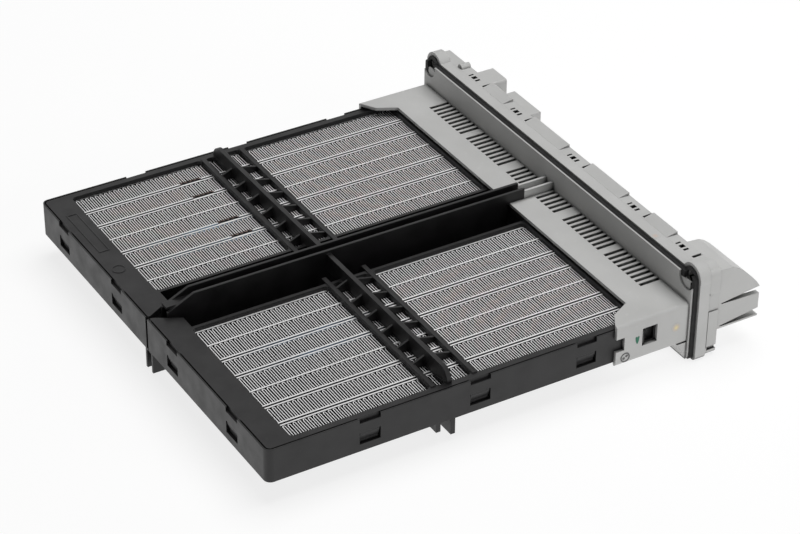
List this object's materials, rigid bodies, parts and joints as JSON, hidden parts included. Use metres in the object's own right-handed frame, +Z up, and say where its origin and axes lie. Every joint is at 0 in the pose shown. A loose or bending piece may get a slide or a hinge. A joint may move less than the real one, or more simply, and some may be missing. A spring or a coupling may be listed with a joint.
{
  "type": "heater core",
  "caption": "Flat two-zone electric air heater: black clipped frame with corrugated fin rows, grey electronics housing with a sealed screw flange and plug shrouds at the rear.",
  "frame": {"origin": "midway between the two flange screw holes, on the flange's front face, where the seal lies against it", "axes": "+X from the finned block towards the plugs, along the flange screws; +Y across the two heating zones, away from the power plug; +Z up, square to the finned face"},
  "size_m": [0.2237, 0.2092, 0.0438],
  "materials": {
    "frame_plastic": "black moulded plastic, slight sheen",
    "housing_plastic": "light grey moulded plastic, fine grain",
    "fin_aluminium": "thin rolled strip, bright",
    "plate_aluminium": "flat sheet, satin",
    "seal_rubber": "soft black foam rubber",
    "carrier_plastic": "heat-proof moulded plastic",
    "ceramic": "fired ceramic, matt",
    "spring_steel": "rolled spring strip",
    "board": "green circuit board laminate",
    "component_plastic": "black moulding compound",
    "terminal_metal": "tinned, satin"
  },
  "bodies": {
    "root": {"frame_lower": "frame_plastic", "frame_upper": "frame_plastic", "fin_row_left_1": "fin_aluminium", "fin_row_left_2": "fin_aluminium", "fin_row_left_3": "fin_aluminium", "fin_row_left_4": "fin_aluminium", "fin_row_left_5": "fin_aluminium", "fin_row_left_6": "fin_aluminium", "fin_row_left_7": "fin_aluminium", "separator_plate_left_1": "plate_aluminium", "separator_plate_left_2": "plate_aluminium", "inner_end_plate_left": "plate_aluminium", "outer_end_plate_left": "plate_aluminium", "contact_sheet_left_1_inner": "plate_aluminium", "contact_sheet_left_1_outer": "plate_aluminium", "stone_carrier_left_1": "carrier_plastic", "contact_sheet_left_2_inner": "plate_aluminium", "contact_sheet_left_2_outer": "plate_aluminium", "stone_carrier_left_2": "carrier_plastic", "contact_sheet_left_3_inner": "plate_aluminium", "contact_sheet_left_3_outer": "plate_aluminium", "stone_carrier_left_3": "carrier_plastic", "contact_sheet_left_4_inner": "plate_aluminium", "contact_sheet_left_4_outer": "plate_aluminium", "stone_carrier_left_4": "carrier_plastic", "ceramic_stones_left": "ceramic", "stack_spring_left": "spring_steel", "fin_row_right_1": "fin_aluminium", "fin_row_right_2": "fin_aluminium", "fin_row_right_3": "fin_aluminium", "fin_row_right_4": "fin_aluminium", "fin_row_right_5": "fin_aluminium", "fin_row_right_6": "fin_aluminium", "fin_row_right_7": "fin_aluminium", "separator_plate_right_1": "plate_aluminium", "separator_plate_right_2": "plate_aluminium", "inner_end_plate_right": "plate_aluminium", "outer_end_plate_right": "plate_aluminium", "contact_sheet_right_1_inner": "plate_aluminium", "contact_sheet_right_1_outer": "plate_aluminium", "stone_carrier_right_1": "carrier_plastic", "contact_sheet_right_2_inner": "plate_aluminium", "contact_sheet_right_2_outer": "plate_aluminium", "stone_carrier_right_2": "carrier_plastic", "contact_sheet_right_3_inner": "plate_aluminium", "contact_sheet_right_3_outer": "plate_aluminium", "stone_carrier_right_3": "carrier_plastic", "contact_sheet_right_4_inner": "plate_aluminium", "contact_sheet_right_4_outer": "plate_aluminium", "stone_carrier_right_4": "carrier_plastic", "ceramic_stones_right": "ceramic", "stack_spring_right": "spring_steel", "electronics_housing": "housing_plastic", "flange_seal": "seal_rubber", "rear_cover": "housing_plastic", "circuit_board": "board", "power_transistors": "component_plastic", "power_terminals": "terminal_metal", "signal_pins": "terminal_metal"}
  },
  "joints": []
}
